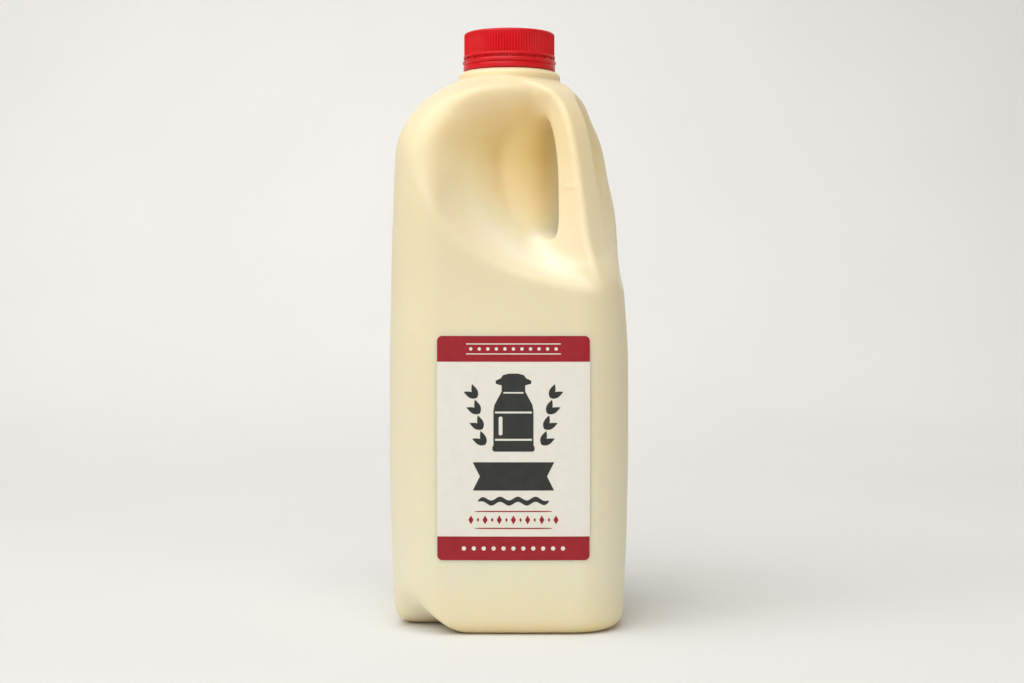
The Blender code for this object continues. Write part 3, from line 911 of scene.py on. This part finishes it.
def charcoal_shapes(middle):
    """The churn between two sprigs, the ribbon and the wave."""
    lights = churn_lights(middle, CHURN_FOOT_Z, CHURN_HEIGHT)
    shapes = [[churn(middle, CHURN_FOOT_Z, CHURN_HEIGHT), *lights]]
    for side in (-1.0, 1.0):
        for row in range(SPRIG_ROWS):
            x = middle + side * (SPRIG_START[0] + SPRIG_STEP[0] * row)
            z = CHURN_FOOT_Z + SPRIG_START[1] + SPRIG_STEP[1] * row
            for lean in LEAF_LEANS:
                sprig = leaf(*LEAF_SIZE, np.pi / 2.0 - lean)
                shapes.append([[(x + side * a, z + b) for a, b in sprig][:: 1 if side > 0 else -1]])
    shapes.append([ribbon(middle, *RIBBON_Z, RIBBON_HALF, RIBBON_NOTCH)])
    left, right = middle - WAVE_HALF, middle + WAVE_HALF
    shapes.append([wave(left, right, WAVE_Z, WAVE_SWING, WAVE_THICKNESS, WAVE_TURNS)])
    return shapes


def pale_shapes(middle):
    """The dots in both bands and the two rules beside the upper row."""
    shapes = []
    for i in range(-5, 6):
        for spacing, height, radius in (
            (TOP_DOT_SPACING, TOP_BAND_ROW_Z, TOP_DOT_RADIUS),
            (FOOT_DOT_SPACING, FOOT_BAND_ROW_Z, FOOT_DOT_RADIUS),
        ):
            shapes.append([dot(middle + i * spacing, height, radius)])
    half_x, half_z = RULE_HALF
    for height in (TOP_BAND_ROW_Z - RULE_FROM_ROW, TOP_BAND_ROW_Z + RULE_FROM_ROW):
        ends = (middle - half_x, middle + half_x, height - half_z, height + half_z)
        shapes.append([rounded_box(*ends, RULE_ROUNDING)])
    return shapes


def make_label(film, crimson, charcoal, pale):
    """The film, its two crimson bands, the charcoal motif and the small pale and crimson ornaments."""
    middle = (LABEL_LEFT + LABEL_RIGHT) / 2.0
    shape = bmesh.new()
    outline = rounded_box(LABEL_LEFT, LABEL_RIGHT, LABEL_FOOT_Z, LABEL_TOP_Z, LABEL_CORNER)
    add_sheet(shape, [outline], LABEL_GAP, LABEL_THICKNESS)
    label = link("label_film", mesh_of("label_film", shape), film)
    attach(label, "root")
    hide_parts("label")
    printed("label_crimson", crimson_shapes(middle), crimson, 0)
    printed("label_charcoal", charcoal_shapes(middle), charcoal, 0)
    printed("label_pale", pale_shapes(middle), pale, 1)


def node(tree, kind, **values):
    made = tree.nodes.new(kind)
    for name, value in values.items():
        setattr(made, name, value)
    return made


def shader_of(name):
    material = bpy.data.materials.new(name)
    material.use_nodes = True
    return material, material.node_tree, material.node_tree.nodes["Principled BSDF"]


def set_values(shader, **values):
    for name, value in values.items():
        shader.inputs[name.replace("_", " ")].default_value = value


def noise_of(tree, scale, detail):
    place = node(tree, "ShaderNodeTexCoord")
    noise = node(tree, "ShaderNodeTexNoise")
    noise.inputs["Scale"].default_value = scale
    noise.inputs["Detail"].default_value = detail
    tree.links.new(place.outputs["Object"], noise.inputs["Vector"])
    return noise.outputs["Fac"]


def spread(tree, value, low, high):
    """Turns a 0 to 1 value into one between low and high."""
    ranged = node(tree, "ShaderNodeMapRange")
    ranged.inputs["To Min"].default_value = low
    ranged.inputs["To Max"].default_value = high
    tree.links.new(value, ranged.inputs["Value"])
    return ranged.outputs["Result"]


def bumped(tree, value, distance, strength, over=None):
    """A surface direction tilted by the slope of value, on top of another one if there is one."""
    made = node(tree, "ShaderNodeBump")
    made.inputs["Distance"].default_value = distance
    made.inputs["Strength"].default_value = strength
    tree.links.new(value, made.inputs["Height"])
    if over:
        tree.links.new(over, made.inputs["Normal"])
    return made.outputs["Normal"]


def bump(tree, value, distance, strength, shader, over=None):
    tree.links.new(bumped(tree, value, distance, strength, over), shader.inputs["Normal"])


def ramp(tree, value, stops):
    """A colour ramp from (place, colour) stops."""
    made = node(tree, "ShaderNodeValToRGB")
    band = made.color_ramp
    for i, (place, colour) in enumerate(stops):
        stop = band.elements[i] if i < 2 else band.elements.new(place)
        stop.position = place
        stop.color = (*colour, 1.0)
    tree.links.new(value, made.inputs["Fac"])
    return made.outputs["Color"]


def mottled(tree, scale, detail, low, high):
    """A colour that drifts between two, in patches."""
    return ramp(tree, noise_of(tree, scale, detail), list(zip(MOTTLE_ENDS, (low, high))))


def mixed(tree, share, first, second):
    """The first colour where share is 0 and the second where it is 1."""
    made = node(tree, "ShaderNodeMix", data_type="RGBA")
    tree.links.new(share, made.inputs["Factor"])
    tree.links.new(first, made.inputs["A"])
    tree.links.new(second, made.inputs["B"])
    return made.outputs["Result"]


def height_share(tree, foot, top):
    """How far up the object a place is, from 0 at foot to 1 at top."""
    place = node(tree, "ShaderNodeTexCoord")
    parts = node(tree, "ShaderNodeSeparateXYZ")
    tree.links.new(place.outputs["Object"], parts.inputs["Vector"])
    ranged = node(tree, "ShaderNodeMapRange")
    ranged.inputs["From Min"].default_value = foot
    ranged.inputs["From Max"].default_value = top
    tree.links.new(parts.outputs["Z"], ranged.inputs["Value"])
    return ranged.outputs["Result"]


def milk_plastic():
    """Natural plastic over creamy milk, yellower at its foot and its top, with painted contact shade at
    its very foot, painted light and shade in the scoop and the finger hole, and a faint orange peel.
    """
    material, tree, shader = shader_of("milk_plastic")
    set_values(
        shader,
        IOR=1.5,
        Subsurface_Weight=1.0,
        Subsurface_Scale=0.004,
        Subsurface_Radius=(1.0, 0.75, 0.50),
    )
    up = height_share(tree, 0.0, COLLAR_TOP_Z)
    colour = ramp(tree, up, MILK_AND_PAINTED_FOOT_SHADE_STOPS)
    # Painted light and shade: the scoop's colours and then the finger wall's take over with depth below
    # the plain body
    hollow_painted_shade = node(tree, "ShaderNodeAttribute", attribute_name="hollow_painted_shade").outputs["Fac"]
    colour = mixed(tree, ramp(tree, hollow_painted_shade, SCOOP_PAINTED_SHADE_SHARE_STOPS), colour, ramp(tree, up, SCOOP_PAINTED_LIGHT_AND_SHADE_STOPS))
    finger_wall_shade = ramp(tree, up, FINGER_WALL_PAINTED_LIGHT_AND_SHADE_STOPS)
    colour = mixed(tree, ramp(tree, hollow_painted_shade, FINGER_WALL_PAINTED_SHADE_SHARE_STOPS), colour, finger_wall_shade)
    tree.links.new(colour, shader.inputs["Base Color"])
    rough = spread(tree, noise_of(tree, MILK_MOTTLE_SCALE, 4.0), *MILK_ROUGHNESS)
    tree.links.new(rough, shader.inputs["Roughness"])
    waves = bumped(tree, noise_of(tree, MILK_WAVE_SCALE, 2.0), MILK_WAVE_DEPTH, 0.35)
    bump(tree, noise_of(tree, MILK_PEEL_SCALE, 3.0), MILK_PEEL_DEPTH, 0.25, shader, waves)
    return material


def cap_plastic():
    """Satin red plastic with a faint mottle."""
    material, tree, shader = shader_of("cap_plastic")
    set_values(shader, Roughness=0.33, IOR=1.38)
    colour = mottled(tree, CAP_MOTTLE_SCALE, 3.0, *CAP_COLOURS)
    tree.links.new(colour, shader.inputs["Base Color"])
    bump(tree, noise_of(tree, CAP_PEEL_SCALE, 2.0), CAP_PEEL_DEPTH, 0.3, shader)
    return material


def film(name, low, high, roughness):
    """Printed label film in one colour, with a faint mottle."""
    material, tree, shader = shader_of(name)
    set_values(shader, Roughness=roughness, IOR=1.36)
    colour = mottled(tree, FILM_MOTTLE_SCALE, 4.0, low, high)
    tree.links.new(colour, shader.inputs["Base Color"])
    bump(tree, noise_of(tree, FILM_PEEL_SCALE, 2.0), FILM_PEEL_DEPTH, 0.2, shader)
    return material


def area_light(name, place, aim, size, power, spread_angle, colour):
    data = bpy.data.lights.new(name, "AREA")
    data.shape = "RECTANGLE"
    data.size, data.size_y = size
    data.energy = power
    data.spread = np.radians(spread_angle)
    data.color = colour
    light = bpy.data.objects.new(name, data)
    light.location = place
    light.rotation_euler = (Vector(aim) - Vector(place)).to_track_quat("-Z", "Y").to_euler()
    bpy.context.scene.collection.objects.link(light)


def make_studio():
    """A pale floor that sweeps up into a backdrop, soft light and an even pale world."""
    material, tree, shader = shader_of("studio_paper")
    set_values(shader, Roughness=0.85)
    colour = mottled(tree, FLOOR_MOTTLE_SCALE, 2.0, FLOOR_DARK, FLOOR_LIGHT)
    tree.links.new(colour, shader.inputs["Base Color"])
    shape = bmesh.new()
    line = [(FLOOR_FRONT_Y, 0.0)]
    for turn in np.linspace(0.0, np.pi / 2.0, SWEEP_STEPS + 1):
        line.append((SWEEP_START_Y + SWEEP_RADIUS * np.sin(turn), SWEEP_RADIUS * (1.0 - np.cos(turn))))
    line.append((SWEEP_START_Y + SWEEP_RADIUS, BACKDROP_TOP_Z))
    rows = [[shape.verts.new((x, y, z)) for x in (-FLOOR_HALF, FLOOR_HALF)] for y, z in line]
    for a, b in zip(rows, rows[1:]):
        shape.faces.new((a[0], a[1], b[1], b[0]))
    sweep = link("studio_sweep", mesh_of("studio_sweep", shape), material)
    sweep.data.shade_smooth()

    world = bpy.data.worlds.new("studio")
    bpy.context.scene.world = world
    world.use_nodes = True
    back = world.node_tree.nodes["Background"]
    back.inputs["Color"].default_value = (*WORLD_COLOUR, 1.0)
    back.inputs["Strength"].default_value = WORLD_STRENGTH
    for values in LIGHTS:
        area_light(*values)


def make_camera():
    data = bpy.data.cameras.new("camera")
    data.lens = LENS
    data.sensor_width = SENSOR
    camera = bpy.data.objects.new("camera", data)
    camera.location = (
        CAMERA_DISTANCE * np.sin(CAMERA_AZIMUTH),
        -CAMERA_DISTANCE * np.cos(CAMERA_AZIMUTH),
        CAMERA_HEIGHT,
    )
    camera.rotation_euler = (np.pi / 2.0 - CAMERA_PITCH, 0.0, CAMERA_AZIMUTH - CAMERA_PAN)
    bpy.context.scene.collection.objects.link(camera)
    bpy.context.scene.camera = camera


def main():
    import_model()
    plastic = milk_plastic()
    make_jug(plastic)
    make_cap(cap_plastic())
    make_label(
        film("label_film", *FILM_COLOURS, FILM_ROUGHNESS),
        film("label_crimson_ink", *CRIMSON_COLOURS, INK_ROUGHNESS),
        film("label_charcoal_ink", *CHARCOAL_COLOURS, INK_ROUGHNESS),
        film("label_pale_ink", *FILM_COLOURS, FILM_ROUGHNESS),
    )
    make_studio()
    make_camera()
    bpy.context.scene.view_settings.view_transform = "Standard"


main()
